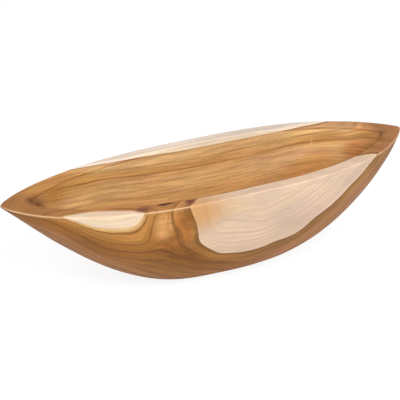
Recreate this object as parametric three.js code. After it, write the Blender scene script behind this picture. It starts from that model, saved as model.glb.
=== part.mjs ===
// Fruit bowl, carved out of one solid piece of teak in the shape of a small boat.
// Millimetres, +Z up. The flat foot stands on Z = 0, centred on the origin. The length lies
// along X, with the blunt end at +X and the slender end at -X, and +Y is the far side.

import * as THREE from 'three';

// Outside sizes
const length = 500; // from tip to tip
const width = 165; // across the rim at the middle
const rimHeight = 124; // from the table to the rim at the middle
const rimTilt = 5.5; // the blunt tip lies this much above the middle, the slender tip this much below
const rimSway = 0.75; // the rim sinks before the slender end and swells before the blunt end
const tipLift = 3.5; // both tips turn up this much above the run of the rim
const footDepth = 4.7; // planed off the round underside, which leaves the flat foot
const keelOffset = 21; // the lowest place of the underside lies this much towards the slender end

// Hollow and wall sizes
const rimThickness = 15.5; // width of the rim's top face
const floorThickness = 18; // wood under the deepest place of the hollow
const slenderTipWall = 34; // solid wood between the hollow and the slender tip
const bluntTipWall = 26; // solid wood between the hollow and the blunt tip
const outerRound = 2; // easing of the rim's outer edge
const lipRound = 1.6; // easing of the rim's inner edge

// Shape of each end: fullness keeps the sides wide towards the end, and a tip power
// under 1 closes the end round.
const slenderRim = { fullness: 2.48, tipPower: 0.73 };
const bluntRim = { fullness: 3.04, tipPower: 0.777 };
const slenderLip = { fullness: 2.08, tipPower: 0.658 };
const bluntLip = { fullness: 2.98, tipPower: 0.76 };

// Rise of the underside towards each tip: a low softness runs straight and turns late.
const slenderKeel = { softness: 0.46, power: 1.28 };
const bluntKeel = { softness: 0.39, power: 1.94 };

// How late both tips turn up, and how late the hollow's floor rises towards each end
const tipLiftPower = 8;
const slenderFloorPower = 2.2;
const bluntFloorPower = 3;

// Cross-sections: 2 is an ellipse, more is squarer
const hullSquareness = 2.65;
const hullSquarenessAtTips = 1.6;
const hollowSquareness = 2.4;

// How fine the facets are
const pointsPerRing = 96;
const hullRings = 15;
const roundRings = 3;
const hollowRings = 14;

const halfLength = length / 2;
const halfWidth = width / 2;

const mix = THREE.MathUtils.lerp;

// Half width of the rim at x. Share 0 is the outer edge of the rim and share 1 its lip.
function rimHalfWidth(x, share) {
  const rim = x < 0 ? slenderRim : bluntRim;
  const lip = x < 0 ? slenderLip : bluntLip;
  const reach = x < 0 ? slenderReach(share) : bluntReach(share);
  const along = Math.min(Math.abs(x) / reach, 1);
  const fullness = mix(rim.fullness, lip.fullness, share);
  const tipPower = mix(rim.tipPower, lip.tipPower, share);
  return (halfWidth - share * rimThickness) * (1 - along ** fullness) ** tipPower;
}

function slenderReach(share) {
  return halfLength - share * slenderTipWall;
}

function bluntReach(share) {
  return halfLength - share * bluntTipWall;
}

// Height of the rim's top face
function rimTop(x) {
  const along = x / halfLength;
  const lift = tipLift * along ** tipLiftPower;
  return rimHeight + rimTilt * along + rimSway * Math.sin(Math.PI * along) + lift;
}

// Height of the round underside along the middle, before the foot is planed flat
function keelHeight(x) {
  const lowest = -keelOffset;
  const end = x < lowest ? -halfLength : halfLength;
  const shape = x < lowest ? slenderKeel : bluntKeel;
  const along = Math.min((x - lowest) / (end - lowest), 1);
  const soft = shape.softness;
  const bend = (Math.hypot(soft, along) - soft) / (Math.hypot(soft, 1) - soft);
  return (rimTop(end) + footDepth) * bend ** shape.power - footDepth;
}

// Height of the hollow's floor along the middle
function floorHeight(x) {
  const end = x < 0 ? -slenderReach(1) : bluntReach(1);
  const power = x < 0 ? slenderFloorPower : bluntFloorPower;
  const along = Math.min(x / end, 1);
  return floorThickness + (rimTop(end) - floorThickness) * along ** power;
}

// Half width of a section at height z, whose rim is at top and whose lowest place is at bottom
function sectionHalfWidth(rimHalf, top, bottom, squareness, z) {
  const depth = THREE.MathUtils.clamp((top - z) / (top - bottom), 0, 1);
  return rimHalf * (1 - depth ** 2) ** (1 / squareness);
}

function hullHalfWidth(x, z) {
  const squareness = mix(hullSquareness, hullSquarenessAtTips, (x / halfLength) ** 2);
  return sectionHalfWidth(rimHalfWidth(x, 0), rimTop(x), keelHeight(x), squareness, z);
}

function hollowHalfWidth(x, z) {
  return sectionHalfWidth(rimHalfWidth(x, 1), rimTop(x), floorHeight(x), hollowSquareness, z);
}

// Where a level surface meets the middle line of the underside or of the floor, between
// the lowest place and an end
function reachOfLevel(level, line, lowest, end) {
  let inside = lowest;
  let outside = end;
  for (let step = 0; step < 40; step += 1) {
    const middle = (inside + outside) / 2;
    if (line(middle) < level(middle)) inside = middle;
    else outside = middle;
  }
  return (inside + outside) / 2;
}

// A closed ring of points from one end of the boat shape round to the other and back
function ring(start, end, halfWidthAt, heightAt) {
  const points = [];
  for (let index = 0; index < pointsPerRing; index += 1) {
    const angle = (2 * Math.PI * index) / pointsPerRing;
    const x = mix(start, end, (1 + Math.cos(angle)) / 2);
    const atEnd = index % (pointsPerRing / 2) === 0;
    const y = atEnd ? 0 : Math.sign(Math.sin(angle)) * halfWidthAt(x, heightAt(x));
    points.push([x, y, heightAt(x)]);
  }
  return points;
}

// Ring of the rim at a share of its top face, some way under the top
function rimRing(share, drop) {
  return ring(
    -slenderReach(share),
    bluntReach(share),
    (x) => rimHalfWidth(x, share),
    (x) => rimTop(x) - drop,
  );
}

function hullRing(rise) {
  const level = (x) => rise * (rimTop(x) - outerRound);
  const start = reachOfLevel(level, keelHeight, -keelOffset, -halfLength);
  const end = reachOfLevel(level, keelHeight, -keelOffset, halfLength);
  return ring(start, end, hullHalfWidth, level);
}

function hollowRing(rise) {
  const level = (x) => mix(floorThickness, rimTop(x) - lipRound, rise);
  const start = reachOfLevel(level, floorHeight, 0, -slenderReach(1));
  const end = reachOfLevel(level, floorHeight, 0, bluntReach(1));
  return ring(start, end, hollowHalfWidth, level);
}

// The rings run from the foot up the outside, over the rim and down into the hollow.
function bowlRings() {
  const rings = [];
  for (let index = 0; index < hullRings; index += 1) {
    rings.push(hullRing((index / hullRings) ** 1.5));
  }
  for (let index = 0; index <= roundRings; index += 1) {
    const turn = ((Math.PI / 2) * index) / roundRings;
    const inward = outerRound * (1 - Math.cos(turn));
    rings.push(rimRing(inward / rimThickness, outerRound * (1 - Math.sin(turn))));
  }
  for (let index = 0; index <= roundRings; index += 1) {
    const turn = ((Math.PI / 2) * index) / roundRings;
    const outward = lipRound * (1 - Math.sin(turn));
    rings.push(rimRing(1 - outward / rimThickness, lipRound * (1 - Math.cos(turn))));
  }
  for (let index = hollowRings - 1; index > 0; index -= 1) {
    rings.push(hollowRing((index / hollowRings) ** 1.7));
  }
  return rings;
}

// Skin over the rings, closed by a fan under the foot and a fan at the deepest place
function bowlGeometry() {
  const rings = bowlRings();
  const footCentre = [-keelOffset, 0, 0];
  const floorCentre = [0, 0, floorThickness];
  const points = [...rings.flat(), footCentre, floorCentre];
  const foot = points.length - 2;
  const floor = points.length - 1;
  const lastRing = (rings.length - 1) * pointsPerRing;
  const triangles = [];
  for (let index = 0; index < pointsPerRing; index += 1) {
    const next = (index + 1) % pointsPerRing;
    triangles.push(foot, next, index);
    for (let row = 0; row < lastRing; row += pointsPerRing) {
      const above = row + pointsPerRing;
      triangles.push(row + index, row + next, above + next);
      triangles.push(row + index, above + next, above + index);
    }
    triangles.push(floor, lastRing + index, lastRing + next);
  }
  const geometry = new THREE.BufferGeometry();
  geometry.setAttribute('position', new THREE.Float32BufferAttribute(points.flat(), 3));
  geometry.setIndex(triangles);
  geometry.computeVertexNormals();
  return geometry;
}

const oiledTeak = new THREE.MeshStandardMaterial({ color: 0xb98450, roughness: 0.5, metalness: 0 });

const bowl = new THREE.Mesh(bowlGeometry(), oiledTeak);
bowl.name = 'bowl';

const fruitBowl = new THREE.Group();
fruitBowl.add(bowl);

export default fruitBowl;
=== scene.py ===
"""Carved teak fruit bowl in the shape of a small boat, dressed for its portrait.

Metres, Z up. The foot stands on Z = 0, the length lies along X with the blunt end at +X and
the slender end at -X, and +Y is the far side.
"""

import logging
import math
from collections.abc import Callable
from dataclasses import dataclass, field
from enum import Enum

import bmesh
import bpy
import numpy as np
from mathutils import Matrix, Vector


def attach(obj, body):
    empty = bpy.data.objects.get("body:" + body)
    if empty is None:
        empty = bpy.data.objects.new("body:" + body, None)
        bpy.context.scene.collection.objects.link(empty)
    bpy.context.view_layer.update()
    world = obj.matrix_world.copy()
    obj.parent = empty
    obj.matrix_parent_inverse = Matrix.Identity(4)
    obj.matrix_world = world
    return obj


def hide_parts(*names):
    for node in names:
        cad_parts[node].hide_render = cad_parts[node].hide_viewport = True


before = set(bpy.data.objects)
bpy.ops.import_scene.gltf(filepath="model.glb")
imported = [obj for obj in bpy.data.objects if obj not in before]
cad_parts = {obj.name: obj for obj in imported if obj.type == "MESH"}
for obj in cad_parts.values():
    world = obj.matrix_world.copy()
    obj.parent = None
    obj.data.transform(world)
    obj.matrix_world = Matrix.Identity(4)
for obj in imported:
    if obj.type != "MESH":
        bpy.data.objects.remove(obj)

MM = 0.001

log = logging.getLogger("fruit_bowl")

Colour = tuple[float, float, float]
Place = tuple[float, float, float]
Run = tuple[tuple[float, float], ...]
Socket = bpy.types.NodeSocket
Source = Socket | float | Colour

# A step is the value where a share starts and the value where it is full. A range is the least
# and the most of something. A band is a middle, the distance from it that is still full, and
# the distance at which it has faded to 0.
Step = tuple[float, float]
Range = tuple[float, float]
Band = tuple[float, float, float]

# A scale is a colour, or a grey, for each of some rising numbers.
Scale = tuple[tuple[float, float | Colour], ...]


def lerp(start: float, end: float, share: float) -> float:
    """Returns the value at a share of the way from start to end."""
    return start + (end - start) * share


@dataclass(frozen=True)
class EndShape:
    """How one end of the boat shape closes, in plan, in side view and in the hollow.

    The lengths are in millimetres.
    """

    side: int
    tip_wall: float
    rim_fullness: float
    rim_tip_power: float
    lip_fullness: float
    lip_tip_power: float
    keel_softness: float
    keel_power: float
    floor_power: float


class Face(Enum):
    """Faces of the bowl that a growth ring can be followed on."""

    HULL = "near side of the outside"
    RIM = "top face of the rim"
    WALL = "far wall of the hollow"


@dataclass(frozen=True)
class GrowthLine:
    """A growth ring followed over one face of the bowl, in millimetres.

    Its level is how far it lies outside the border between the pale sapwood and the brown
    heartwood, or inside it where it is below 0. The points are X and Z on the hull and on the
    wall, and X and Y on the rim.
    """

    level: float
    face: Face
    points: Run


HULL_LINES: dict[float, tuple[Run, ...]] = {
    0.0: (
        ((-179, 113), (-166, 108), (-148, 103), (-136, 101), (-125, 102), (-117, 105), (-112, 110)),
        ((-110, 117), (-56, 112), (-52, 101), (-49, 90), (-46, 80), (-42, 69), (-32, 60)),
        ((-18, 48), (7, 43), (32, 44), (51, 50), (76, 54), (85, 59), (94, 67), (115, 79)),
        ((134, 91), (145, 101), (165, 112), (180, 124)),
    ),
    -3.5: (
        ((-166, 104), (-138, 98), (-124, 97), (-115, 99), (-110, 106), (-107, 113)),
        ((-74, 115), (-65, 111), (-59, 104), (-51, 87)),
    ),
    -10.0: (
        ((-98, 114), (-102, 105), (-102, 90), (-103, 83), (-109, 79), (-118, 79), (-137, 82)),
        ((-74, 81), (-69, 70)),
    ),
    -13.0: (((-92, 119), (-80, 119), (-90, 100), (-88, 85)),),
    -18.0: (
        ((-205, 112), (-179, 96), (-154, 78), (-127, 71), (-104, 68), (-87, 69), (-74, 59)),
        ((-59, 51), (-47, 43), (-15, 31)),
    ),
    9.0: (((-41, 78), (-11, 65), (17, 61), (61, 66), (77, 69)),),
    17.0: (((-31, 88), (-10, 77), (15, 73), (52, 79)),),
    26.0: (((-25, 103), (-9, 95), (39, 86)),),
    34.0: (((-20, 118), (-12, 112), (12, 103), (37, 103)),),
}

RIM_LINES: dict[float, tuple[Run, ...]] = {
    0.0: (
        ((-199, -44), (-192, -45), (-182, -46), (-171, -46), (-135, -57), (-119, -65), (-110, -71)),
        ((-58, -81), (-57.5, -77.5), (-52, -72), (-42, -66.5)),
        ((163, -48), (182, -47), (188, -53)),
        ((-148, 62.4), (-134, 61.4), (-119, 61.9), (-105, 60.5), (-95, 60.4)),
        ((138, 55.3), (150, 54.8), (163, 54.6)),
    ),
    -13.0: (
        ((-95, -62), (-85, -66), (-75, -67)),
        ((-240, 0), (-215, -20), (-215, 20), (240, 0), (215, -22), (215, 25)),
    ),
    -18.0: (((-209, 9.7),),),
}

WALL_LINES: dict[float, tuple[Run, ...]] = {
    0.0: (
        ((-71, 120), (-46, 118.4), (-22, 117.5), (2, 117.6), (27, 118.3), (51, 119.3)),
        ((76, 120.7), (92, 121.9), (104, 122.6), (116, 123.8), (127, 125.4)),
    ),
    -10.0: (((-150, 119.5), (-129, 116.5), (-104, 112.6), (-72, 108.6), (-39, 106.5)),),
    -18.0: (
        ((-188, 114), (-161, 109.4), (-140, 106.4), (-80, 98.4), (-56, 95.6), (-31, 94.2)),
        ((9, 94), (42, 95), (67, 96.8), (85, 98.8), (104, 100.8), (127, 104.8), (159, 109.5)),
        ((179, 112.3), (198, 114.6), (214, 119)),
    ),
}


def growth_lines() -> list[GrowthLine]:
    """Gathers every growth ring that is followed on the bowl.

    Returns:
        The growth rings of the three faces.
    """
    faces = ((Face.HULL, HULL_LINES), (Face.RIM, RIM_LINES), (Face.WALL, WALL_LINES))
    return [
        GrowthLine(level, face, points)
        for face, lines in faces
        for level, runs in lines.items()
        for points in runs
    ]


@dataclass
class Trunk:
    """The crooked young trunk that the bowl was carved from, in millimetres.

    Its rings are circles round a bent pith. Where a ring is followed on the bowl, the rings
    near it are pulled to it.
    """

    pith_y: float = 27.0
    pith_z: float = 30.0
    pith_bend: float = 0.00065
    pith_bend_x: float = 30.0
    heart_radius: float = 98.0
    heart_flare: float = 0.0004
    heart_flare_x: float = 20.0
    pull_reach: float = 35.0
    pull_slack: float = 0.01

    def straight_growth(self, points: np.ndarray) -> np.ndarray:
        """Returns the level of growth at each point, before the followed rings are heeded.

        Args:
            points: One row of X, Y and Z for each point.

        Returns:
            The level at each point.
        """
        x, y, z = points.T
        pith = self.pith_y - self.pith_bend * (x - self.pith_bend_x) ** 2
        radius = self.heart_radius + self.heart_flare * (x - self.heart_flare_x) ** 2
        return np.hypot(y - pith, z - self.pith_z) - radius

    def pull(self, points: np.ndarray, others: np.ndarray) -> np.ndarray:
        """Returns how strongly each point is pulled by each of the others."""
        away = np.linalg.norm(points[:, None] - others[None], axis=2) / self.pull_reach
        return (1 + away) * np.exp(-away)

    def growth(self, points: np.ndarray, known: np.ndarray, levels: np.ndarray) -> np.ndarray:
        """Works out the level of growth at points of the bowl.

        Args:
            points: One row of X, Y and Z for each point.
            known: The same for the points of the followed rings.
            levels: The level of each known point.

        Returns:
            The level at each point, 0 at the edge of the heartwood and more in the sapwood.
        """
        off = levels - self.straight_growth(known)
        grip = self.pull(known, known) + self.pull_slack * np.eye(len(known))
        strength = np.linalg.solve(grip, off)
        return self.straight_growth(points) + self.pull(points, known) @ strength


@dataclass(frozen=True)
class Wave:
    """A wave through the wood.

    The lengths are how far it runs in one radian along each axis, in millimetres, and the start
    is in radians.
    """

    lengths: Place
    start: float = 0.0

    def at(self, points: np.ndarray, bend: float | np.ndarray = 0.0) -> np.ndarray:
        """Returns how high the wave is at each point, from -1 to 1."""
        return np.sin(points @ np.reciprocal(self.lengths) + self.start + bend)


@dataclass(frozen=True)
class HandWork:
    """The slight hollows that hand tools leave, deeper where crossing waves are high.

    The lengths are in millimetres. The middle and the swing are shares of the depth.
    """

    depth: float = 0.35
    middle: float = 0.5
    swing: float = 0.3
    strokes: Wave = Wave((13.7, math.inf, math.inf))
    across_strokes: Wave = Wave((math.inf, 19.0, 11.3), 0.6)
    bend: Wave = Wave((math.inf, math.inf, 17.0))
    bend_by: float = 1.9
    slants: Wave = Wave((29.0, math.inf, -8.1), 2.0)
    across_slants: Wave = Wave((47.0, 12.7, math.inf))
    slant_share: float = 0.6
    above_foot: Step = (1.0, 7.0)

    def hollow(self, points: np.ndarray) -> np.ndarray:
        """Returns how deep the surface is hollowed at each point, with nothing at the foot.

        Args:
            points: One row of X, Y and Z for each point.

        Returns:
            The depth at each point.
        """
        strokes = self.strokes.at(points, self.bend_by * self.bend.at(points))
        slants = self.slants.at(points) * self.across_slants.at(points)
        wave = strokes * self.across_strokes.at(points) + self.slant_share * slants
        share = np.interp(points[:, 2], self.above_foot, (0, 1))
        return self.depth * (self.middle + self.swing * wave) * share


@dataclass
class CarvedBowl:
    """The bowl itself: one solid piece of wood, hollowed and rounded by hand.

    The sizes are in millimetres, and the mesh is made in metres.
    """

    length: float = 500.0
    width: float = 165.0
    rim_height: float = 124.0
    rim_tilt: float = 5.5
    rim_sway: float = 0.75
    tip_lift: float = 3.5
    tip_lift_power: float = 8.0
    foot_depth: float = 4.7
    keel_offset: float = 21.0
    rim_thickness: float = 15.5
    floor_thickness: float = 18.0
    outer_round: float = 2.0
    lip_round: float = 1.6
    hull_squareness: float = 2.65
    hull_squareness_at_tips: float = 1.6
    hollow_squareness: float = 2.4
    slender: EndShape = EndShape(-1, 34.0, 2.48, 0.73, 2.08, 0.658, 0.46, 1.28, 2.2)
    blunt: EndShape = EndShape(1, 26.0, 3.04, 0.777, 2.98, 0.76, 0.39, 1.94, 3.0)
    points_per_ring: int = 96
    hull_rings: int = 20
    round_rings: int = 4
    rim_face_rings: int = 3
    hollow_rings: int = 18
    hull_crowding: float = 1.5
    hollow_crowding: float = 1.7
    digits: int = 9
    halvings: int = 40
    least_depth: float = 1e-6
    subdivisions: int = 2
    hand_work: HandWork = HandWork()
    trunk: Trunk = field(default_factory=Trunk)

    @property
    def half_length(self) -> float:
        """Returns half of the length from tip to tip."""
        return self.length / 2

    @property
    def half_width(self) -> float:
        """Returns half of the width across the rim at the middle."""
        return self.width / 2

    @property
    def widest(self) -> int:
        """Returns the number of the point at the widest place of a ring."""
        return self.points_per_ring // 4

    def reach(self, end: EndShape, share: float) -> float:
        """Returns how far the rim goes towards an end, at a share of the rim's top face."""
        return self.half_length - share * end.tip_wall

    def rim_half_width(self, x: np.ndarray, share: float) -> np.ndarray:
        """Works out the half width of the rim.

        Args:
            x: Places along the length.
            share: 0 at the outer edge of the rim's top face and 1 at its lip.

        Returns:
            The half width at each place.
        """
        widest = self.half_width - share * self.rim_thickness
        sides = []
        for end in (self.slender, self.blunt):
            along = np.minimum(np.abs(x) / self.reach(end, share), 1)
            fullness = lerp(end.rim_fullness, end.lip_fullness, share)
            tip_power = lerp(end.rim_tip_power, end.lip_tip_power, share)
            sides.append(widest * (1 - along**fullness) ** tip_power)
        return np.where(x < 0, sides[0], sides[1])

    def rim_top(self, x: np.ndarray) -> np.ndarray:
        """Returns the height of the rim's top face at each place along the length.

        Args:
            x: Places along the length.

        Returns:
            The height at each place.
        """
        along = x / self.half_length
        lift = self.tip_lift * along**self.tip_lift_power
        sway = self.rim_sway * np.sin(np.pi * along)
        return self.rim_height + self.rim_tilt * along + sway + lift

    def keel_height(self, x: np.ndarray) -> np.ndarray:
        """Returns the height of the underside along the middle, before the foot is planed.

        Args:
            x: Places along the length.

        Returns:
            The height at each place.
        """
        lowest = -self.keel_offset
        sides = []
        for shape in (self.slender, self.blunt):
            end = shape.side * self.half_length
            along = np.clip((x - lowest) / (end - lowest), 0, 1)
            soft = shape.keel_softness
            bend = (np.hypot(soft, along) - soft) / (np.hypot(soft, 1) - soft)
            rise = self.rim_top(end) + self.foot_depth
            sides.append(rise * bend**shape.keel_power - self.foot_depth)
        return np.where(x < lowest, sides[0], sides[1])

    def floor_height(self, x: np.ndarray) -> np.ndarray:
        """Returns the height of the hollow's floor along the middle.

        Args:
            x: Places along the length.

        Returns:
            The height at each place.
        """
        sides = []
        for shape in (self.slender, self.blunt):
            end = shape.side * self.reach(shape, 1)
            along = np.clip(x / end, 0, 1)
            rise = self.rim_top(end) - self.floor_thickness
            sides.append(self.floor_thickness + rise * along**shape.floor_power)
        return np.where(x < 0, sides[0], sides[1])

    def hull_half_width(self, x: np.ndarray, z: np.ndarray) -> np.ndarray:
        """Returns the half width of the outside at each place along the length and height.

        Args:
            x: Places along the length.
            z: Height at each place.

        Returns:
            The half width at each place.
        """
        top = self.rim_top(x)
        depth = np.clip((top - z) / (top - self.keel_height(x)), 0, 1)
        at_tips = (x / self.half_length) ** 2
        squareness = lerp(self.hull_squareness, self.hull_squareness_at_tips, at_tips)
        return self.rim_half_width(x, 0) * (1 - depth**2) ** (1 / squareness)

    def hollow_half_width(self, x: np.ndarray, z: np.ndarray) -> np.ndarray:
        """Returns the half width of the hollow at each place along the length and height.

        Args:
            x: Places along the length.
            z: Height at each place.

        Returns:
            The half width at each place.
        """
        top = self.rim_top(x)
        deepest = np.maximum(top - self.floor_height(x), self.least_depth)
        depth = np.clip((top - z) / deepest, 0, 1)
        return self.rim_half_width(x, 1) * (1 - depth**2) ** (1 / self.hollow_squareness)

    def reach_of_level(self, level: Callable, line: Callable, lowest: float, end: float) -> float:
        """Finds where a level meets the middle line of the underside or of the floor.

        Args:
            level: Height of the level at a place along the length.
            line: Height of the middle line at a place along the length.
            lowest: Place of the line's lowest point.
            end: Place of the end of the bowl, or of the hollow, on the side wanted.

        Returns:
            The place along the length.
        """
        inside, outside = lowest, end
        for _ in range(self.halvings):
            middle = (inside + outside) / 2
            if line(middle) < level(middle):
                inside = middle
            else:
                outside = middle
        return (inside + outside) / 2

    def ring(self, start: float, end: float, half_width: Callable, height: Callable) -> np.ndarray:
        """Makes a closed ring of points from one end of the boat shape round to the other.

        Args:
            start: Place of the ring's slender end.
            end: Place of its blunt end.
            half_width: Half width at places along the length and their heights.
            height: Height at places along the length.

        Returns:
            One row of X, Y and Z for each point.
        """
        turn = 2 * np.pi * np.arange(self.points_per_ring) / self.points_per_ring
        x = lerp(start, end, (1 + np.cos(turn)) / 2)
        z = height(x)
        side = np.sign(np.round(np.sin(turn), self.digits))
        return np.stack([x, side * half_width(x, z), z], axis=1)

    def hull_ring(self, rise: float) -> np.ndarray:
        """Returns the ring of the outside at a share of the way from the foot to the rim.

        Args:
            rise: The share, from 0 at the foot to 1 at the rim.

        Returns:
            One row of X, Y and Z for each point.
        """

        def level(x: np.ndarray) -> np.ndarray:
            """Returns the height of the ring."""
            return rise * (self.rim_top(x) - self.outer_round)

        lowest = -self.keel_offset
        start = self.reach_of_level(level, self.keel_height, lowest, -self.half_length)
        end = self.reach_of_level(level, self.keel_height, lowest, self.half_length)
        return self.ring(start, end, self.hull_half_width, level)

    def rim_ring(self, share: float, drop: float) -> np.ndarray:
        """Returns the ring at a share of the rim's top face, some way under the top.

        Args:
            share: 0 at the outer edge of the rim's top face and 1 at its lip.
            drop: How far the ring lies under the top.

        Returns:
            One row of X, Y and Z for each point.
        """
        return self.ring(
            -self.reach(self.slender, share),
            self.reach(self.blunt, share),
            lambda x, z: self.rim_half_width(x, share),
            lambda x: self.rim_top(x) - drop,
        )

    def hollow_ring(self, rise: float) -> np.ndarray:
        """Returns the ring of the hollow at a share of the way from its floor to the lip.

        Args:
            rise: The share, from 0 at the floor to 1 at the lip.

        Returns:
            One row of X, Y and Z for each point.
        """

        def level(x: np.ndarray) -> np.ndarray:
            """Returns the height of the ring."""
            return lerp(self.floor_thickness, self.rim_top(x) - self.lip_round, rise)

        start = self.reach_of_level(level, self.floor_height, 0, -self.reach(self.slender, 1))
        end = self.reach_of_level(level, self.floor_height, 0, self.reach(self.blunt, 1))
        return self.ring(start, end, self.hollow_half_width, level)

    def round_edge(self, radius: float) -> list[tuple[float, float]]:
        """Returns how far in and how far down each ring of a rounded edge lies."""
        turns = np.linspace(0, np.pi / 2, self.round_rings + 1)
        return [(radius * (1 - math.cos(turn)), radius * (1 - math.sin(turn))) for turn in turns]

    def rings(self) -> list[np.ndarray]:
        """Returns every ring, from the foot up the outside, over the rim and down inside.

        Returns:
            The points of each ring.
        """
        rises = np.arange(self.hull_rings) / self.hull_rings
        rings = [self.hull_ring(rise) for rise in rises**self.hull_crowding]
        for inward, drop in self.round_edge(self.outer_round):
            rings.append(self.rim_ring(inward / self.rim_thickness, drop))
        start = self.outer_round / self.rim_thickness
        end = 1 - self.lip_round / self.rim_thickness
        for share in np.linspace(start, end, self.rim_face_rings + 2)[1:-1]:
            rings.append(self.rim_ring(share, 0))
        for outward, drop in reversed(self.round_edge(self.lip_round)):
            rings.append(self.rim_ring(1 - outward / self.rim_thickness, drop))
        rises = np.arange(self.hollow_rings - 1, 0, -1) / self.hollow_rings
        rings += [self.hollow_ring(rise) for rise in rises**self.hollow_crowding]
        return rings

    def girths(self, rings: list[np.ndarray]) -> list[float]:
        """Measures how far each ring is from the middle of the foot, up one side of the bowl.

        Args:
            rings: Every ring.

        Returns:
            The way along the surface at the widest place, in millimetres.
        """
        girths = [abs(rings[0][self.widest][1])]
        for inner, outer in zip(rings, rings[1:]):
            step = (outer - inner)[self.widest]
            girths.append(girths[-1] + math.hypot(step[1], step[2]))
        return girths

    def edge_girths(self) -> tuple[float, float]:
        """Returns the way from the middle of the foot to the rim's outer edge and to its lip.

        Returns:
            Both ways, in millimetres.
        """
        girths = self.girths(self.rings())
        first_inside = len(girths) - self.hollow_rings
        return girths[self.hull_rings], girths[first_inside]

    def place_ring(self, bowl: bpy.types.Object, points: np.ndarray, girth: float) -> None:
        """Puts the selected loop of vertices on a ring.

        Args:
            bowl: The bowl in edit mode.
            points: One row of X, Y and Z for each number round the ring, in millimetres.
            girth: The ring's way from the middle of the foot.
        """
        mesh = bmesh.from_edit_mesh(bowl.data)
        around = mesh.verts.layers.int["around"]
        way = mesh.verts.layers.float["girth"]
        for vertex in mesh.verts:
            if vertex.select:
                vertex.co = points[vertex[around]] * MM
                vertex[way] = girth
        bmesh.update_edit_mesh(bowl.data)

    def start_disc(self) -> bpy.types.Object:
        """Lays a disc on the table and numbers the vertices round it.

        Returns:
            The disc in edit mode, with the edges round it selected.
        """
        deselect_all()
        bpy.ops.mesh.primitive_circle_add(
            vertices=self.points_per_ring,
            radius=self.half_width * MM,
            fill_type="TRIFAN",
            location=(-self.keel_offset * MM, 0, 0),
        )
        bpy.ops.object.transform_apply(location=True, rotation=True, scale=True)
        disc = bpy.context.object
        bpy.ops.object.mode_set(mode="EDIT")
        bpy.ops.mesh.flip_normals()
        bpy.ops.mesh.select_all(action="DESELECT")
        mesh = bmesh.from_edit_mesh(disc.data)
        mesh.verts.layers.float.new("girth")
        around = mesh.verts.layers.int.new("around")
        for vertex in mesh.verts:
            if vertex.is_boundary:
                turn = math.atan2(vertex.co.y, vertex.co.x + self.keel_offset * MM)
                number = round(turn / (2 * math.pi) * self.points_per_ring)
                vertex[around] = number % self.points_per_ring
                vertex.select = True
        mesh.select_flush(True)
        for face in mesh.faces:
            face.select = False
        for edge in mesh.edges:
            edge.select = edge.is_boundary
        return disc

    def build(self) -> bpy.types.Object:
        """Draws the bowl up from a disc on the table, ring by ring, and closes its hollow.

        Returns:
            The bowl, with its modifiers applied.
        """
        bowl = self.start_disc()
        bowl.name = "carved_bowl"
        rings = self.rings()
        girths = self.girths(rings)
        self.place_ring(bowl, rings[0], girths[0])
        for points, girth in zip(rings[1:], girths[1:]):
            bpy.ops.mesh.extrude_edges_move()
            self.place_ring(bowl, points, girth)
        bpy.ops.mesh.extrude_edges_move()
        bpy.ops.mesh.merge(type="CENTER")
        middle = np.tile((0, 0, self.floor_thickness), (self.points_per_ring, 1))
        from_last = abs(rings[-1][self.widest][1])
        self.place_ring(bowl, middle, girths[-1] + from_last)
        bpy.ops.object.mode_set(mode="OBJECT")
        bowl.data.attributes.remove(bowl.data.attributes["around"])
        smooth = bowl.modifiers.new("fairing", "SUBSURF")
        smooth.levels = self.subdivisions
        smooth.render_levels = self.subdivisions
        bpy.ops.object.modifier_apply(modifier=smooth.name)
        bpy.ops.object.shade_smooth()
        self.soften(bowl)
        self.mark_growth(bowl)
        return bowl

    def soften(self, bowl: bpy.types.Object) -> None:
        """Lowers the surface of the bowl by the hollows of hand work.

        Args:
            bowl: The bowl.
        """
        normals = np.empty(len(bowl.data.vertices) * 3, dtype=np.float32)
        bowl.data.vertex_normals.foreach_get("vector", normals)
        points = vertex_points(bowl)
        points -= normals.reshape(-1, 3) * self.hand_work.hollow(points)[:, None]
        bowl.data.vertices.foreach_set("co", (points * MM).astype(np.float32).ravel())
        bowl.data.update()

    def on_face(self, line: GrowthLine) -> np.ndarray:
        """Puts the points of a growth ring on its face.

        Args:
            line: The growth ring.

        Returns:
            One row of X, Y and Z for each point, in millimetres.
        """
        first, second = np.array(line.points, dtype=float).T
        if line.face is Face.RIM:
            return np.stack([first, second, self.rim_top(first)], axis=1)
        if line.face is Face.HULL:
            return np.stack([first, -self.hull_half_width(first, second), second], axis=1)
        return np.stack([first, self.hollow_half_width(first, second), second], axis=1)

    def mark_growth(self, bowl: bpy.types.Object) -> None:
        """Writes the level of growth on every vertex of the bowl, for the finish to read.

        Args:
            bowl: The bowl.
        """
        lines = growth_lines()
        known = np.concatenate([self.on_face(line) for line in lines])
        levels = np.concatenate([np.full(len(line.points), line.level) for line in lines])
        level = self.trunk.growth(vertex_points(bowl), known, levels)
        mark = bowl.data.attributes.new("growth", "FLOAT", "POINT")
        mark.data.foreach_set("value", level.astype(np.float32))


def vertex_points(thing: bpy.types.Object) -> np.ndarray:
    """Reads where the vertices of an object are.

    Args:
        thing: The object.

    Returns:
        One row of X, Y and Z for each vertex, in millimetres.
    """
    places = np.empty(len(thing.data.vertices) * 3, dtype=np.float32)
    thing.data.vertices.foreach_get("co", places)
    return places.reshape(-1, 3).astype(float) / MM


def deselect_all() -> None:
    """Deselects every object, because an operator acts on all that is selected."""
    bpy.ops.object.select_all(action="DESELECT")


@dataclass(frozen=True)
class Mark:
    """A place on the bowl that gets a colour laid over it, in the shape of an egg.

    The lengths are in millimetres. The core is the share of the reach that is full strength.
    Some marks are colours of the wood itself, and some are painted light or painted shade.
    """

    centre: Place
    reach: Place
    colour: Colour
    core: float = 0.35
    strength: float = 1.0


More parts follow.
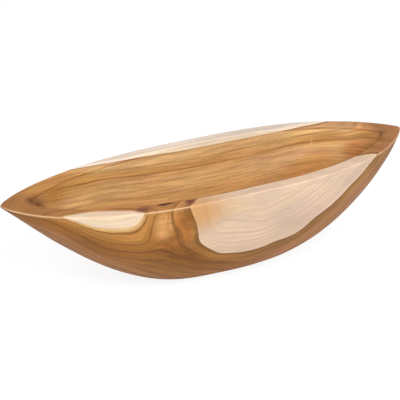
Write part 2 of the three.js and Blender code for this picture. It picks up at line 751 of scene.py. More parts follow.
@dataclass(frozen=True)
class Lamp:
    """A square soft lamp that looks at the bowl.

    The turn goes round the bowl from the near side towards the blunt end, and the rise goes up
    from level, both in degrees. The power is in watts.
    """

    name: str
    turn: float
    rise: float
    power: float


@dataclass
class Studio:
    """Pale floor, soft lamps and the camera at the viewing angle of the portrait.

    The lengths are in millimetres and the angles in degrees.
    """

    elevation: float = 27.0
    turn: float = 22.465
    distance: float = 1500.0
    focal_pixels: float = 1249.77
    image_pixels: float = 400.0
    right_offset: float = -12.943
    up_offset: float = 71.626
    sensor: float = 36.0
    sight: float = 100000.0
    floor_size: float = 12000.0
    lamp_size: float = 1200.0
    lamp_distance: float = 2200.0
    lamp_aim: float = 60.0
    lamps: tuple[Lamp, ...] = (
        Lamp("front_lamp", 10, 45, 34),
        Lamp("side_lamp", -70, 45, 18),
    )
    light_all_round: float = 0.28

    def axes(self) -> tuple[Vector, Vector, Vector]:
        """Returns the camera's right, up and back directions.

        Returns:
            The three directions.
        """
        turn = math.radians(self.turn)
        rise = math.radians(self.elevation)
        right = Vector((math.cos(turn), -math.sin(turn), 0))
        ahead = Vector((math.sin(turn), math.cos(turn), 0))
        up = ahead * math.sin(rise) + Vector((0, 0, math.cos(rise)))
        back = -ahead * math.cos(rise) + Vector((0, 0, math.sin(rise)))
        return right, up, back

    def add_camera(self) -> None:
        """Adds the camera that the scene renders from."""
        right, up, back = self.axes()
        data = bpy.data.cameras.new("portrait_camera")
        data.sensor_width = self.sensor
        data.lens = self.sensor * self.focal_pixels / self.image_pixels
        data.clip_end = self.sight * MM
        camera = bpy.data.objects.new("portrait_camera", data)
        bpy.context.collection.objects.link(camera)
        place = right * self.right_offset + up * self.up_offset + back * self.distance
        turned = Matrix((right, up, back)).transposed()
        camera.matrix_world = Matrix.Translation(place * MM) @ turned.to_4x4()
        bpy.context.scene.camera = camera

    def add_floor(self) -> None:
        """Adds the floor, whose top is at Z = 0."""
        deselect_all()
        bpy.ops.mesh.primitive_plane_add(size=self.floor_size * MM)
        floor = bpy.context.object
        floor.name = "studio_floor"
        floor.data.materials.append(PaleFloor().build())

    def add_lamp(self, lamp: Lamp) -> None:
        """Adds a lamp.

        Args:
            lamp: Where the lamp is and how strong it is.
        """
        data = bpy.data.lights.new(lamp.name, "AREA")
        data.size = self.lamp_size * MM
        data.energy = lamp.power
        light = bpy.data.objects.new(lamp.name, data)
        bpy.context.collection.objects.link(light)
        turn = math.radians(lamp.turn)
        rise = math.radians(lamp.rise)
        level = Vector((math.sin(turn), -math.cos(turn), 0))
        away = level * math.cos(rise) + Vector((0, 0, math.sin(rise)))
        light.location = (Vector((0, 0, self.lamp_aim)) + away * self.lamp_distance) * MM
        light.rotation_euler = away.to_track_quat("Z", "Y").to_euler()

    def add_world(self) -> None:
        """Adds the soft light from all round, which the camera sees as white."""
        world = bpy.data.worlds.new("studio_world")
        bpy.context.scene.world = world
        world.use_nodes = True
        nodes = world.node_tree.nodes
        background = nodes["Background"]
        background.inputs["Color"].default_value = (1, 1, 1, 1)
        rays = nodes.new("ShaderNodeLightPath")
        blend = nodes.new("ShaderNodeMix")
        blend.inputs["A"].default_value = self.light_all_round
        blend.inputs["B"].default_value = 1.0
        links = world.node_tree.links
        links.new(rays.outputs["Is Camera Ray"], blend.inputs["Factor"])
        links.new(blend.outputs["Result"], background.inputs["Strength"])

    def build(self) -> None:
        """Adds the camera, the floor, the lamps and the world."""
        self.add_camera()
        self.add_floor()
        for lamp in self.lamps:
            self.add_lamp(lamp)
        self.add_world()
        bpy.context.scene.view_settings.view_transform = "Standard"


def grey_colour(grey: float) -> Colour:
    """Returns the colour of a grey."""
    return (grey, grey, grey)


class Bench:
    """Lays out the nodes of a material and joins them."""

    usual_noise: Range = (0.3, 0.7)

    def __init__(self, name: str) -> None:
        """Starts a material.

        Args:
            name: Name of the material.
        """
        self.material = bpy.data.materials.new(name)
        self.material.use_nodes = True
        self.tree = self.material.node_tree
        self.tree.nodes.clear()

    def add(self, kind: str, **settings: object) -> bpy.types.Node:
        """Adds a node.

        Args:
            kind: Kind of node, without its usual prefix.
            settings: Values of the node's own settings.

        Returns:
            The node.
        """
        node = self.tree.nodes.new("ShaderNode" + kind)
        for name, value in settings.items():
            setattr(node, name, value)
        return node

    def feed(self, socket: Socket, source: Source) -> None:
        """Joins a source to a socket, or sets the socket's own value.

        Args:
            socket: The socket of a node.
            source: The output of another node, a number or a colour.
        """
        if isinstance(source, bpy.types.NodeSocket):
            self.tree.links.new(source, socket)
        elif isinstance(source, tuple) and socket.type == "RGBA":
            socket.default_value = (*source, 1)
        else:
            socket.default_value = source

    def finish(self, shader: bpy.types.Node) -> bpy.types.Material:
        """Joins the last shader to the output and returns the material.

        Args:
            shader: The last shader.

        Returns:
            The material.
        """
        output = self.add("OutputMaterial")
        self.feed(output.inputs["Surface"], shader.outputs[0])
        return self.material

    def math(self, operation: str, first: Source, second: Source = 0.0) -> Socket:
        """Returns the result of a sum on one or two numbers.

        Args:
            operation: Kind of sum.
            first: First number.
            second: Second number, which some sums do without.

        Returns:
            The result.
        """
        node = self.add("Math", operation=operation)
        self.feed(node.inputs[0], first)
        self.feed(node.inputs[1], second)
        return node.outputs[0]

    def product(self, *sources: Source) -> Source:
        """Returns the product of some numbers.

        Args:
            sources: The numbers.

        Returns:
            The product.
        """
        result = sources[0]
        for source in sources[1:]:
            result = self.math("MULTIPLY", result, source)
        return result

    def rest(self, share: Source) -> Socket:
        """Returns what a share leaves of the whole."""
        return self.math("SUBTRACT", 1.0, share)

    def vector(self, operation: str, first: Source, second: Source) -> Socket:
        """Returns the result of a sum on two vectors.

        Args:
            operation: Kind of sum.
            first: First vector.
            second: Second vector.

        Returns:
            The resulting vector.
        """
        node = self.add("VectorMath", operation=operation)
        self.feed(node.inputs[0], first)
        self.feed(node.inputs[1], second)
        return node.outputs[0]

    def join(self, x: Source, y: Source, z: Source) -> Socket:
        """Returns a vector made of three numbers.

        Args:
            x: First number.
            y: Second number.
            z: Third number.

        Returns:
            The vector.
        """
        node = self.add("CombineXYZ")
        for socket, source in zip(node.inputs, (x, y, z)):
            self.feed(socket, source)
        return node.outputs[0]

    def split(self, vector: Socket) -> list[Socket]:
        """Returns the three numbers of a vector.

        Args:
            vector: The vector.

        Returns:
            The numbers.
        """
        node = self.add("SeparateXYZ")
        self.feed(node.inputs[0], vector)
        return list(node.outputs)

    def noise(self, at: Source, detail: float, roughness: float) -> Socket:
        """Returns a noise between about 0 and 1, with its middle at 0.5.

        Args:
            at: Place in the noise, in sizes of its largest lumps.
            detail: How many finer noises lie over the largest.
            roughness: How strong each finer noise is beside the last.

        Returns:
            The noise.
        """
        node = self.add("TexNoise")
        self.feed(node.inputs["Vector"], at)
        node.inputs["Scale"].default_value = 1.0
        node.inputs["Detail"].default_value = detail
        node.inputs["Roughness"].default_value = roughness
        return node.outputs["Fac"]

    def ranged(
        self, value: Source, old: Range, new: Range = (0.0, 1.0), **settings: object
    ) -> Socket:
        """Returns a number moved from its old range to a new one.

        Args:
            value: The number.
            old: Its old range.
            new: Its new range.
            settings: Values of the node's own settings.

        Returns:
            The moved number.
        """
        node = self.add("MapRange", **settings)
        self.feed(node.inputs["Value"], value)
        for name, number in zip(("From Min", "From Max", "To Min", "To Max"), (*old, *new)):
            node.inputs[name].default_value = number
        return node.outputs["Result"]

    def between(self, value: Source, low: float, high: float) -> Socket:
        """Returns a soft step from 0 at low to 1 at high."""
        return self.ranged(value, (low, high), interpolation_type="SMOOTHSTEP")

    def band(self, value: Source, middle: float, full: float, reach: float) -> Socket:
        """Returns 1 up to the full distance from the middle, which fades to 0 at the reach."""
        away = self.math("ABSOLUTE", self.math("SUBTRACT", value, middle))
        return self.between(away, reach, full)

    def span(self, noise: Source, low: float, high: float) -> Socket:
        """Returns a number that runs from low to high as a noise runs over its usual range."""
        return self.ranged(noise, self.usual_noise, (low, high))

    def mix(self, share: Source, first: Source, second: Source, kind: str = "MIX") -> Socket:
        """Returns a colour at a share of the way from the first to the second.

        Args:
            share: The share.
            first: First colour.
            second: Second colour.
            kind: How the second is laid over the first.

        Returns:
            The colour.
        """
        node = self.add("Mix", data_type="RGBA", blend_type=kind)
        sockets = [socket for socket in node.inputs if socket.enabled]
        for socket, source in zip(sockets, (share, first, second)):
            self.feed(socket, source)
        return next(socket for socket in node.outputs if socket.enabled)

    def tint(self, share: Source, first: Source, second: Source) -> Socket:
        """Returns the first colour multiplied by a share of the second."""
        return self.mix(share, first, second, "MULTIPLY")

    def drift(self, wood: Source, noise: Source, low: Colour, high: Colour) -> Socket:
        """Returns the wood multiplied by a colour that goes from low to high with a noise."""
        return self.tint(1.0, wood, self.mix(self.span(noise, 0.0, 1.0), low, high))

    def dim(self, colour: Source, strength: Source) -> Socket:
        """Returns a colour multiplied by a number."""
        return self.vector("MULTIPLY", colour, self.join(strength, strength, strength))

    def scale(self, value: Source, stops: Scale) -> Socket:
        """Reads a colour off a scale.

        Args:
            value: Number to look up.
            stops: The scale.

        Returns:
            The colour, blended between the stops beside the number.
        """
        low, high = stops[0][0], stops[-1][0]
        ramp = self.add("ValToRGB")
        points = ramp.color_ramp.elements
        points.remove(points[-1])
        for number, colour in stops:
            share = (number - low) / (high - low)
            point = points[0] if number == low else points.new(share)
            point.color = (*(colour if isinstance(colour, tuple) else grey_colour(colour)), 1)
        self.feed(ramp.inputs[0], self.ranged(value, (low, high)))
        return ramp.outputs["Color"]

    def spot(self, at: Source, mark: Mark) -> Socket:
        """Returns the strength of a mark, full in its core, which fades to 0 at its edge.

        Args:
            at: Place in the wood, in millimetres.
            mark: The mark.

        Returns:
            The strength.
        """
        off = self.vector("SUBTRACT", at, mark.centre)
        away = self.add("VectorMath", operation="LENGTH")
        self.feed(away.inputs[0], self.vector("DIVIDE", off, mark.reach))
        share = self.between(away.outputs["Value"], 1.0, mark.core)
        return self.product(share, mark.strength)

    def put(self, wood: Source, at: Source, mark: Mark) -> Socket:
        """Returns the wood with the colour of a mark laid over it."""
        return self.mix(self.spot(at, mark), wood, mark.colour)

    def stains(self, wood: Source, at: Source, marks: tuple[Mark, ...]) -> Source:
        """Returns the wood multiplied by the colour of each mark.

        Args:
            wood: Colour of the wood so far.
            at: Place in the wood, in millimetres.
            marks: The marks.

        Returns:
            The colour.
        """
        for mark in marks:
            wood = self.tint(self.spot(at, mark), wood, mark.colour)
        return wood


@dataclass(frozen=True)
class PaleFloor:
    """Matt pale finish of the studio floor.

    The greys are in linear light. The camera sees a darker floor that glows, so that the floor
    comes out nearly white and keeps the bowl's shadow.
    """

    grey: float = 0.8
    seen_grey: float = 0.2
    seen_glow: float = 0.88

    def build(self) -> bpy.types.Material:
        """Lays out the finish.

        Returns:
            The material.
        """
        bench = Bench("pale_floor")
        seen = bench.add("LightPath").outputs["Is Camera Ray"]
        grey = bench.mix(seen, grey_colour(self.grey), grey_colour(self.seen_grey))
        matt = bench.add("BsdfDiffuse")
        bench.feed(matt.inputs["Color"], grey)
        glow = bench.add("Emission")
        bench.feed(glow.inputs["Strength"], bench.product(seen, self.seen_glow))
        both = bench.add("AddShader")
        bench.feed(both.inputs[0], matt.outputs[0])
        bench.feed(both.inputs[1], glow.outputs[0])
        return bench.finish(both)


@dataclass(frozen=True)
class Figure:
    """Noise drawn out along the wood: how wide and how long it is, in millimetres."""

    width: float
    length: float
    detail: float = 2.0
    roughness: float = 0.5
    seed: float = 0.0


@dataclass(frozen=True)
class Reading:
    """What the finish reads at each place of the bowl.

    The lengths are in millimetres. The clouds are a soft noise that weakens the rings and the
    painted edge highlight here and there. Each field after the clouds is a share: 1 on that part
    of the bowl and 0 off it.
    """

    at: Socket
    x: Socket
    z: Socket
    girth: Socket
    from_edge: Socket
    from_lip: Socket
    growth: Socket
    clouds: Socket
    far: Socket
    inside: Socket
    rim: Socket
    blunt: Socket
    sapwood: Socket


@dataclass(frozen=True)
class OiledTeak:
    """Hand-rubbed oiled teak with brown heartwood and pale sapwood.

    The lengths are in millimetres and the colours in linear light. A scale of growth gives a
    colour, or the depth of a dark ring, at each level of growth. Steps and bands are of growth,
    of a place on the bowl, or of the way over the surface from the rim's edge or its lip. The
    outer edge and the lip are given by their own way from the middle of the foot.
    """

    outer_edge: float
    lip: float

    far_side: Step = (-20.0, 20.0)
    blunt_half: Step = (-30.0, 70.0)
    edge_step: Step = (-1.5, 0.0)
    lip_step: Step = (-1.0, 1.5)
    sapwood_step: Step = (-0.6, 0.5)

    hull_heart: Scale = (
        (-48, (0.400, 0.185, 0.070)),
        (-34, (0.400, 0.170, 0.048)),
        (-28, (0.350, 0.142, 0.036)),
        (-22, (0.360, 0.143, 0.027)),
        (-17, (0.285, 0.105, 0.018)),
        (-12, (0.370, 0.147, 0.0265)),
        (-6, (0.462, 0.208, 0.052)),
        (-1, (0.410, 0.190, 0.045)),
    )
    # The wall's heartwood is lighter than the hull's: partly painted light on the far wall, which
    # faces the lamps, and partly wood that grew lighter.
    wall_heart: Scale = (
        (-62, (0.420, 0.195, 0.064)),
        (-46, (0.510, 0.275, 0.098)),
        (-34, (0.625, 0.375, 0.165)),
        (-24, (0.650, 0.385, 0.170)),
        (-17, (0.600, 0.315, 0.112)),
        (-11, (0.665, 0.395, 0.158)),
        (-5, (0.790, 0.510, 0.250)),
        (-1, (0.760, 0.470, 0.220)),
    )
    blunt_heart: Colour = (0.441, 0.212, 0.098)
    blunt_heart_share: float = 0.75
    under_patch: Colour = (0.73, 0.73, 0.50)
    under_patch_band: Band = (-4.0, 2.0, 8.0)
    halo: Colour = (0.660, 0.410, 0.170)
    halo_step: Step = (-2.6, -0.6)
    halo_side: Step = (-95.0, -115.0)
    rim_heart: Colour = (0.450, 0.200, 0.064)
    slender_far_rim: Colour = (0.588, 0.278, 0.089)
    blunt_far_rim: Colour = (0.580, 0.302, 0.144)
    slender_tip: Colour = (0.350, 0.157, 0.052)
    blunt_tip: Colour = (0.465, 0.206, 0.083)
    near_tip_step: Step = (180.0, 225.0)
    far_tip_step: Step = (200.0, 235.0)
    olive: Colour = (0.985, 1.030, 0.950)
    mauve: Colour = (1.02, 0.995, 1.06)
    dark_band: Colour = (0.66, 0.60, 0.50)
    dark_band_lift: float = 1.225
    streak_depth: Range = (0.76, 1.26)

    slender_rings: Scale = (
        (-41, 0.3),
        (-33, 0.4),
        (-26, 0.4),
        (-18, 0.9),
        (-10, 0.85),
        (-2.9, 0.8),
    )
    blunt_rings: Scale = ((-26, 0.3), (-14, 0.3), (-6.5, 0.2))
    far_rings: Scale = (
        (-41, 0.3),
        (-33, 0.3),
        (-26, 0.25),
        (-18, 0.95),
        (-10, 0.55),
        (-0.6, 0.85),
    )
    ring_width: float = 1.0
    blunt_rings_step: Step = (-50.0, -20.0)
    border_line: float = 0.85
    border_band: Band = (-0.9, 0.3, 1.5)
    border_side: Step = (-80.0, -66.0)
    ring_fade: Range = (0.25, 1.0)
    dark_line: Colour = (0.15, 0.055, 0.010)

    patch: Colour = (0.748, 0.555, 0.410)
    patch_border: Colour = (0.840, 0.620, 0.430)
    patch_border_share: float = 0.4
    patch_border_band: Band = (1.2, 0.3, 1.2)
    cream: Colour = (0.850, 0.670, 0.470)
    cream_step: Step = (-0.8, 1.8)
    cream_side: Step = (-90.0, -115.0)
    near_rim_sap: Colour = (1.0, 0.975, 0.965)
    inner_sap: Colour = (1.000, 0.870, 0.660)
    far_rim_sap: Scale = (
        (0.5, (1.000, 0.800, 0.600)),
        (2.8, (0.980, 0.795, 0.620)),
        (4.5, (0.815, 0.670, 0.540)),
        (6.5, (0.785, 0.640, 0.515)),
        (9.0, (0.820, 0.685, 0.580)),
    )
    yellowish: Colour = (1.02, 1.02, 0.93)
    pinkish: Colour = (0.99, 0.97, 1.04)
    pale_band_depth: Range = (0.95, 1.05)
    pale_rings: Scale = (
        (2.5, 0.3),
        (5.5, 0.6),
        (9, 0.8),
        (12.5, 0.4),
        (17, 0.9),
        (21, 0.5),
        (26, 0.9),
        (30, 0.5),
        (34, 0.8),
        (37.5, 0.5),
    )
    pale_ring_width: float = 0.85
    pale_ring_fade: Range = (0.15, 1.0)
    pale_line: Colour = (0.76, 0.66, 0.53)

    # Painted highlight along the near outer edge of the rim, on the brown wood.
    edge_highlight: Colour = (0.90, 0.64, 0.38)
    edge_highlight_band: Band = (1.1, 0.1, 1.2)
    edge_highlight_depth: Range = (0.45, 0.70)
    # Painted shade along the far outer edge of the rim, on the brown wood.
    far_edge_shade: Colour = (0.66, 0.52, 0.52)
    far_edge_shade_band: Band = (0.0, 0.5, 2.2)
    # Painted shade on the far lip, which dulls the light that its rounding catches.
    far_lip_shade: Colour = (0.94, 0.92, 0.90)
    far_lip_shade_band: Band = (0.0, 0.8, 3.0)
    far_lip_shade_side: Step = (-170.0, -90.0)
    pore: Colour = (0.72, 0.66, 0.60)
    pore_step: Step = (0.62, 0.75)
    fibre_depth: Range = (0.89, 1.11)
    cloud_depth: Range = (0.91, 1.09)
    end_grain: Colour = (0.66, 0.58, 0.50)
    end_grain_step: Step = (0.5, 1.0)

    bands: Figure = Figure(6.0, 110.0, 3.0)
    streaks: Figure = Figure(1.7, 46.0, 4.0, 0.62)
    hues: Figure = Figure(3.6, 95.0, 2.0, 0.5, 7.0)
    fibres: Figure = Figure(1.1, 38.0, 3.0, 0.6)
    pores: Figure = Figure(0.55, 7.0, 1.0)
    level_grain: Figure = Figure(2.2, 26.0, 3.0)
    clouds: Figure = Figure(45.0, 70.0)
    mottle: Figure = Figure(7.0, 14.0, 2.0, 0.5, 3.0)
    wander: Figure = Figure(16.0, 45.0)
    wander_by: float = 0.35

    beside_pillar: Mark = Mark((-66, -77, 93), (15, 20, 36), (0.37, 0.138, 0.026))
    pillar: Mark = Mark((-88, -77, 101), (16, 20, 26), (0.665, 0.350, 0.132))
    pillar_depth: Range = (0.50, 0.95)
    burl: Mark = Mark((-72, -75, 82), (42, 28, 48), (1, 1, 1), 0.4)
    burl_depth: Range = (0.79, 1.11)
    golden: Mark = Mark((-52, -81, 112), (52, 42, 36), (0.645, 0.352, 0.145), 0.15)
    # The first and the third mark darken the lower hull: painted shade where it turns down towards
    # the foot.
    hull_shades: tuple[Mark, ...] = (
        Mark((-68, -70, 40), (75, 45, 42), (0.77, 0.77, 0.57)),
        Mark((-50, -76, 66), (22, 20, 26), (0.80, 0.74, 0.74), 0.3),
        Mark((12, -66, 35), (44, 30, 13), (0.86, 0.86, 0.76), 0.4),
        Mark((161, -62, 101), (52, 26, 34), (1.19, 1.19, 1.38), 0.2),
    )
    wall_shades: tuple[Mark, ...] = (
        # Painted shade near the slender end of the hollow.
        Mark((-182, 25, 105), (37, 22, 20), (0.80, 0.67, 0.49), 0.15),
        Mark((-150, 34, 108), (65, 34, 13), (0.98, 0.96, 0.80), 0.4),
        Mark((-134, 46, 90), (36, 24, 17), (1.11, 1.12, 1.12), 0.2),
        Mark((-54, 58, 77), (60, 24, 14), (0.90, 0.86, 0.80), 0.2),
        Mark((110, 50, 96), (85, 26, 30), (1.02, 1.03, 1.18), 0.3),
        # Painted shade low on the far wall near the blunt end, darker and warmer.
        Mark((150, 37, 77), (70, 20, 30), (0.955, 0.835, 0.67), 0.45),
        # Painted shade at the blunt end of the hollow.
        Mark((201, 16, 102), (34, 21, 22), (0.80, 0.60, 0.42), 0.25),
        # Painted light on the far wall just under the lip near the blunt end.
        Mark((196, 27, 121), (44, 18, 13), (1.28, 1.40, 1.65), 0.1),
    )
    rim_shades: tuple[Mark, ...] = (
        Mark((-186, -24, 120.5), (32, 9, 5), (1.0, 0.93, 1.12)),
        Mark((-148, -60, 120.5), (50, 12, 3), (0.93, 0.87, 0.90), 0.5),
        # Painted light on the far lip towards the slender end.
        Mark((-115, 55, 120), (55, 12, 6), (1.10, 1.33, 1.80), 0.3),
        Mark((182, 30, 127), (26, 16, 5), (1.05, 1.14, 1.30), 0.2),
        Mark((211, 20, 128), (24, 18, 6), (1.26, 1.25, 1.13), 0.2),
        Mark((200, -38, 129), (26, 16, 6), (0.88, 0.84, 0.90), 0.4),
        Mark((209, -20, 129), (12, 9, 6), (0.80, 0.72, 0.58), 0.2),
    )
    patch_shades: tuple[Mark, ...] = (
        # Painted highlight, lighter and yellower, near the top of the big pale patch.
        Mark((-6, -80, 113), (42, 14, 18), (1.05, 1.02, 0.90), 0.2),
        Mark((75, -66, 84), (70, 34, 22), (0.99, 0.96, 1.02), 0.2),
    )
    # A small light fleck in the far wall.
    light_fleck: Mark = Mark((154.5, 47, 107), (2, 6, 8), (0.82, 0.520, 0.250), 0.2, 0.5)
    knots_and_hole_shade: tuple[Mark, ...] = (
        Mark((-80, -61, 121.5), (38, 8, 6), (0.36, 0.120, 0.055), 0.2, 0.6),
        # Near-black: painted shade in a small hole in the near rim.
        Mark((-80, -63.5, 121.5), (14, 4, 5), (0.022, 0.009, 0.006)),
        Mark((-55, -70, 122), (8, 10, 7), (0.20, 0.052, 0.032), 0.2, 0.9),
        Mark((-108, -66, 121), (13, 10, 7), (0.20, 0.066, 0.038), 0.2, 0.9),
    )
    # Painted shade in both ends of the hollow, with some darker end grain there.
    hollow_end_shade: tuple[Mark, ...] = (
        Mark((-203, 7, 110), (32, 22, 19), (0.17, 0.050, 0.009), 0.0, 0.95),
        Mark((-214, 6, 119), (10, 8, 8), (0.090, 0.036, 0.018), 0.0, 0.6),
        Mark((210, -3, 111), (23, 23, 16), (0.28, 0.100, 0.020), 0.1, 0.6),
        Mark((226, -1, 127), (7, 11, 8), (0.14, 0.058, 0.024), 0.0, 0.5),
    )

    gloss: float = 0.28
    roughness: Range = (0.46, 0.58)
    bump_strength: float = 0.25
    bump_depth: float = 0.3

    def ridges(self, rings: Scale, width: float) -> Scale:
        """Returns a scale of greys with a peak of its depth at each ring and black between."""
        peaks = [((at - width, 0.0), (at, depth), (at + width, 0.0)) for at, depth in rings]
        return tuple(stop for peak in peaks for stop in peak)

    def draw(self, bench: Bench, figure: Figure, across: Socket, along: Socket) -> Socket:
        """Returns a noise drawn out along the wood.

        Args:
            bench: The bench of the material.
            figure: Size and kind of the noise.
            across: Place across the grain, in millimetres.
            along: Place along the grain, in millimetres.

        Returns:
            The noise.
        """
        wide = bench.math("DIVIDE", across, figure.width)
        long = bench.math("DIVIDE", along, figure.length)
        return bench.noise(bench.join(wide, long, figure.seed), figure.detail, figure.roughness)

    def cloud(self, bench: Bench, figure: Figure, at: Socket) -> Socket:
        """Returns a noise that fills the wood, drawn out along X.

        Args:
            bench: The bench of the material.
            figure: Size and kind of the noise.
            at: Place in the wood, in millimetres.

        Returns:
            The noise.
        """
        small = bench.vector("DIVIDE", at, (figure.length, figure.width, figure.width))
        moved = bench.vector("ADD", small, (figure.seed, figure.seed, figure.seed))
        return bench.noise(moved, figure.detail, figure.roughness)

    def read(self, bench: Bench) -> Reading:
        """Reads the place on the bowl and the two measures that were written on its vertices.

        Args:
            bench: The bench of the material.

        Returns:
            What the finish reads.
        """
        place = bench.add("TexCoord").outputs["Object"]
        at = bench.vector("DIVIDE", place, (MM, MM, MM))
        x, y, z = bench.split(at)
        far = bench.between(y, *self.far_side)
        girth = bench.add("Attribute", attribute_name="girth").outputs["Fac"]
        from_edge = bench.math("SUBTRACT", girth, self.outer_edge)
        from_lip = bench.math("SUBTRACT", girth, self.lip)
        inside = bench.between(from_lip, *self.lip_step)
        growth = bench.add("Attribute", attribute_name="growth").outputs["Fac"]
        wander = bench.span(self.cloud(bench, self.wander, at), -self.wander_by, self.wander_by)
        growth = bench.math("ADD", growth, bench.product(wander, bench.rest(far)))
        return Reading(
            at=at,
            x=x,
            z=z,
            girth=girth,
            from_edge=from_edge,
            from_lip=from_lip,
            growth=growth,
            clouds=self.cloud(bench, self.clouds, at),
            far=far,
            inside=inside,
            rim=bench.math("SUBTRACT", bench.between(from_edge, *self.edge_step), inside),
            blunt=bench.between(x, *self.blunt_half),
            sapwood=bench.between(growth, *self.sapwood_step),
        )

    def brown(self, bench: Bench, here: Reading) -> Socket:
        """Lays out the colour of the brown wood on the hull, the wall and the rim.

        Args:
            bench: The bench of the material.
            here: What the finish reads.

        Returns:
            The colour, before the figure of the wood.
        """
        hull = bench.scale(here.growth, self.hull_heart)
        hull = bench.mix(bench.product(here.blunt, self.blunt_heart_share), hull, self.blunt_heart)
        under = bench.product(bench.band(here.growth, *self.under_patch_band), here.blunt)
        hull = bench.tint(under, hull, self.under_patch)
        hull = bench.put(hull, here.at, self.beside_pillar)
        hull = bench.stains(hull, here.at, self.hull_shades)
        grain = bench.span(self.draw(bench, self.level_grain, here.z, here.x), *self.pillar_depth)
        pillar = bench.product(bench.spot(here.at, self.pillar), grain)
        hull = bench.mix(pillar, hull, self.pillar.colour)
        halo = bench.product(
            bench.between(here.growth, *self.halo_step),
            bench.between(here.x, *self.halo_side),
            bench.rest(here.rim),
        )
        hull = bench.mix(halo, hull, self.halo)
        wall = bench.stains(bench.scale(here.growth, self.wall_heart), here.at, self.wall_shades)
        from_middle = bench.math("ABSOLUTE", here.x)
        tip = bench.mix(here.blunt, self.slender_tip, self.blunt_tip)
        near = bench.mix(bench.between(from_middle, *self.near_tip_step), self.rim_heart, tip)
        far = bench.mix(here.blunt, self.slender_far_rim, self.blunt_far_rim)
        far = bench.mix(bench.between(from_middle, *self.far_tip_step), far, tip)
        heart = bench.mix(here.inside, hull, wall)
        return bench.mix(here.rim, heart, bench.mix(here.far, near, far))

    def heartwood(self, bench: Bench, here: Reading) -> Socket:
        """Lays out the brown wood with its figure and its dark rings.

        Args:
            bench: The bench of the material.
            here: What the finish reads.

        Returns:
            The colour.
        """
        heart = bench.dim(self.brown(bench, here), self.dark_band_lift)
        bands = self.draw(bench, self.bands, here.growth, here.x)
        heart = bench.tint(bench.span(bands, 0.0, 1.0), heart, self.dark_band)
        streaks = self.draw(bench, self.streaks, here.growth, here.x)
        heart = bench.dim(heart, bench.span(streaks, *self.streak_depth))
        hues = self.draw(bench, self.hues, here.growth, here.x)
        heart = bench.drift(heart, hues, self.olive, self.mauve)
        mottle = self.cloud(bench, self.mottle, here.at)
        wild = bench.span(mottle, *self.burl_depth)
        heart = bench.tint(bench.spot(here.at, self.burl), heart, wild)
        heart = bench.drift(heart, mottle, self.olive, self.mauve)

        slender, blunt, far = (
            bench.scale(here.growth, self.ridges(rings, self.ring_width))
            for rings in (self.slender_rings, self.blunt_rings, self.far_rings)
        )
        line = bench.mix(bench.between(here.x, *self.blunt_rings_step), slender, blunt)
        border = bench.product(
            bench.band(here.growth, *self.border_band),
            bench.between(here.x, *self.border_side),
            self.border_line,
        )
        line = bench.mix(here.far, bench.math("MAXIMUM", line, border), far)
        depth = bench.product(line, bench.span(here.clouds, *self.ring_fade))
        return bench.mix(depth, heart, self.dark_line)

    def pale_wood(self, bench: Bench, here: Reading) -> Socket:
        """Lays out the sapwood with its faint rings.

        Args:
            bench: The bench of the material.
            here: What the finish reads.

        Returns:
            The colour.
        """
        golden = bench.spot(here.at, self.golden)
        sap = bench.mix(golden, self.patch, self.golden.colour)
        border = bench.product(
            bench.band(here.growth, *self.patch_border_band),
            here.blunt,
            self.patch_border_share,
        )
        sap = bench.mix(border, sap, self.patch_border)
        cream = bench.mix(bench.between(here.growth, *self.cream_step), self.halo, self.cream)
        sap = bench.mix(bench.between(here.x, *self.cream_side), sap, cream)
        sap = bench.tint(here.rim, sap, self.near_rim_sap)
        sap = bench.mix(here.far, sap, bench.scale(here.growth, self.far_rim_sap))
        sap = bench.mix(here.inside, sap, self.inner_sap)
        hues = self.draw(bench, self.hues, here.growth, here.x)
        drifted = bench.drift(sap, hues, self.yellowish, self.pinkish)
        sap = bench.mix(golden, drifted, sap)
        bands = self.draw(bench, self.bands, here.growth, here.x)
        sap = bench.dim(sap, bench.span(bands, *self.pale_band_depth))
        line = bench.product(
            bench.scale(here.growth, self.ridges(self.pale_rings, self.pale_ring_width)),
            bench.rest(bench.math("MAXIMUM", golden, here.rim)),
            bench.span(here.clouds, *self.pale_ring_fade),
        )
        return bench.tint(line, sap, self.pale_line)

    def edges(self, bench: Bench, here: Reading, wood: Socket) -> Socket:
        """Lays out painted light and painted shade on the edges of the rim.

        Args:
            bench: The bench of the material.
            here: What the finish reads.
            wood: Colour of the wood so far.

        Returns:
            The colour.
        """
        brown = bench.rest(here.sapwood)
        # Painted highlight along the near outer edge, where light catches its rounding.
        highlight = bench.product(
            bench.band(here.from_edge, *self.edge_highlight_band),
            bench.span(here.clouds, *self.edge_highlight_depth),
            bench.rest(here.far),
            brown,
        )
        wood = bench.mix(highlight, wood, self.edge_highlight)
        far_brown = bench.product(here.far, brown)
        # Painted shade along the far outer edge of the rim.
        edge_shade = bench.product(bench.band(here.from_edge, *self.far_edge_shade_band), far_brown)
        wood = bench.tint(edge_shade, wood, self.far_edge_shade)
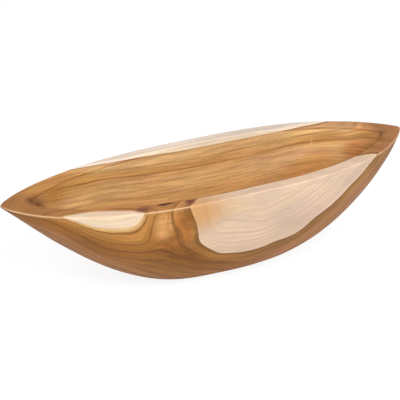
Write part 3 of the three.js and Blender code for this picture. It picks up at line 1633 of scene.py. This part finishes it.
        # Painted shade on the far lip, against the light that its rounding catches.
        soft = bench.product(
            bench.band(here.from_lip, *self.far_lip_shade_band),
            bench.between(here.x, *self.far_lip_shade_side),
            far_brown,
        )
        return bench.tint(soft, wood, self.far_lip_shade)

    def build(self) -> bpy.types.Material:
        """Lays out the finish and returns the material.

        Returns:
            The material.
        """
        bench = Bench("oiled_teak")
        here = self.read(bench)
        wood = bench.mix(here.sapwood, self.heartwood(bench, here), self.pale_wood(bench, here))

        fibres = self.draw(bench, self.fibres, here.girth, here.x)
        pores = self.draw(bench, self.pores, here.girth, here.x)
        dots = bench.product(bench.between(pores, *self.pore_step), bench.rest(here.sapwood))
        wood = bench.tint(dots, bench.dim(wood, bench.span(fibres, *self.fibre_depth)), self.pore)
        wood = bench.dim(wood, bench.span(here.clouds, *self.cloud_depth))
        wood = self.edges(bench, here, wood)
        facing = bench.split(bench.add("NewGeometry").outputs["Normal"])[0]
        end_grain = bench.between(bench.math("ABSOLUTE", facing), *self.end_grain_step)
        wood = bench.tint(end_grain, wood, self.end_grain)
        wood = bench.stains(wood, here.at, (*self.rim_shades, *self.patch_shades))
        for mark in (self.light_fleck, *self.knots_and_hole_shade, *self.hollow_end_shade):
            wood = bench.put(wood, here.at, mark)

        shader = bench.add("BsdfPrincipled")
        bench.feed(shader.inputs["Base Color"], wood)
        bench.feed(shader.inputs["Roughness"], bench.span(fibres, *self.roughness))
        shader.inputs["Specular IOR Level"].default_value = self.gloss
        bump = bench.add("Bump")
        bump.inputs["Strength"].default_value = self.bump_strength
        bump.inputs["Distance"].default_value = self.bump_depth * MM
        bench.feed(bump.inputs["Height"], bench.math("SUBTRACT", fibres, dots))
        bench.feed(shader.inputs["Normal"], bump.outputs[0])
        return bench.finish(shader)


def main() -> None:
    """Builds the studio and the bowl."""
    logging.basicConfig(level=logging.INFO, format="%(message)s")
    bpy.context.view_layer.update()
    Studio().build()
    log.info("studio ready")
    carving = CarvedBowl()
    bowl = carving.build()
    bowl.data.materials.append(OiledTeak(*carving.edge_girths()).build())
    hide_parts("bowl")
    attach(bowl, "root")
    log.info("%s: %d faces", bowl.name, len(bowl.data.polygons))


if __name__ == "__main__":
    main()
